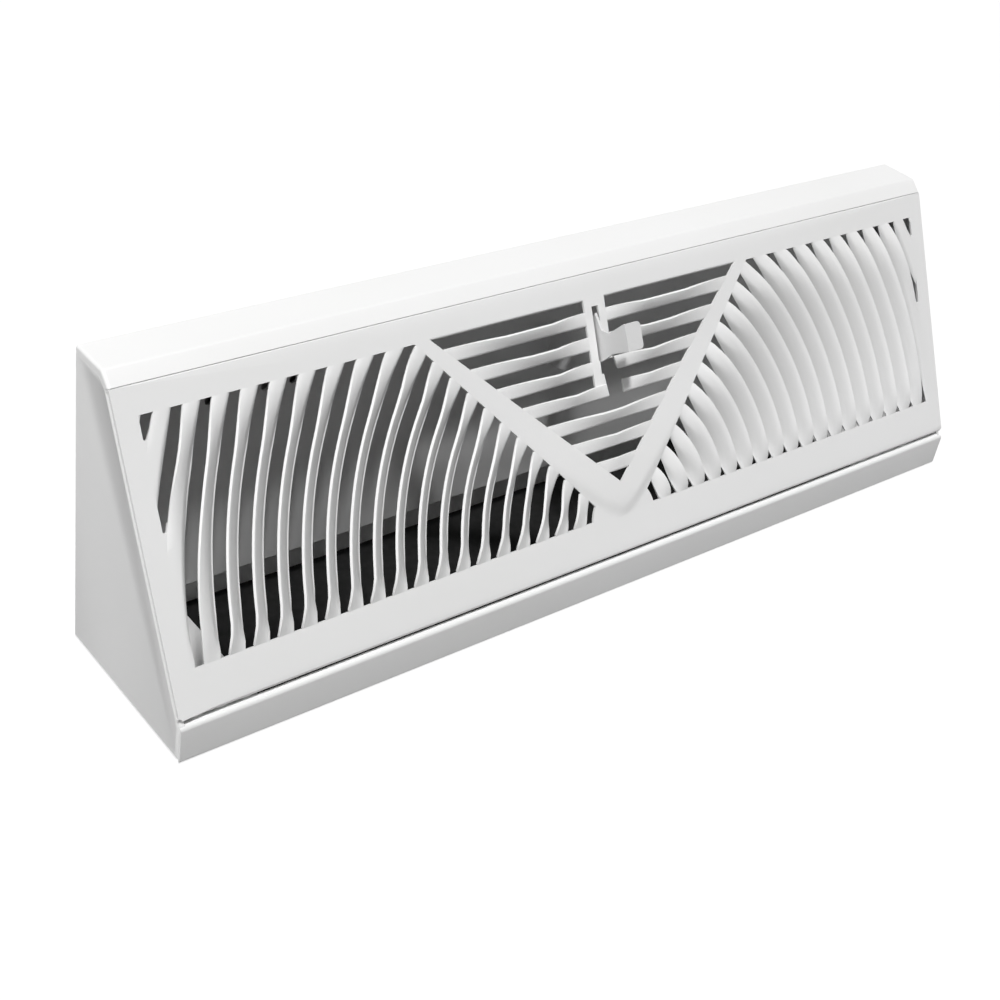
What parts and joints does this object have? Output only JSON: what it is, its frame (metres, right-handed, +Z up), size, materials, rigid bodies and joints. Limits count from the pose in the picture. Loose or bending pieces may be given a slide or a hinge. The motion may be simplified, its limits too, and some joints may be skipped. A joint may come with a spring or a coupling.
{
  "type": "baseboard air outlet",
  "caption": "Floor-duct air outlet for a baseboard: folded steel casing, slanted plate with arched louvres, and a hinged damper blade set by a lever.",
  "frame": {"origin": "middle of the base, at floor level, midway between the wall face and the front rail", "axes": "+X along the outlet's length, +Y towards the wall, +Z up"},
  "size_m": [0.381, 0.0698, 0.1143],
  "materials": {
    "casing_enamel": "satin white enamel",
    "plate_enamel": "satin white enamel",
    "damper_enamel": "satin white enamel",
    "zinc_steel": "zinc plated"
  },
  "bodies": {
    "casing": {"hood": "casing_enamel", "right_end": "casing_enamel", "left_end": "casing_enamel", "front_rail": "casing_enamel", "back_panel": "casing_enamel", "face_plate": "plate_enamel", "right_hinge_bracket": "casing_enamel", "left_hinge_bracket": "casing_enamel", "hinge_rod": "zinc_steel"},
    "damper": {"damper_blade": "damper_enamel", "damper_lever": "damper_enamel"}
  },
  "joints": [
    {"name": "damper_swing", "type": "hinge", "parent": "casing", "child": "damper", "pos_m": [0, 0.02993, 0.103], "axis": [-1, 0, 0], "range_deg": [0, 32]}
  ]
}
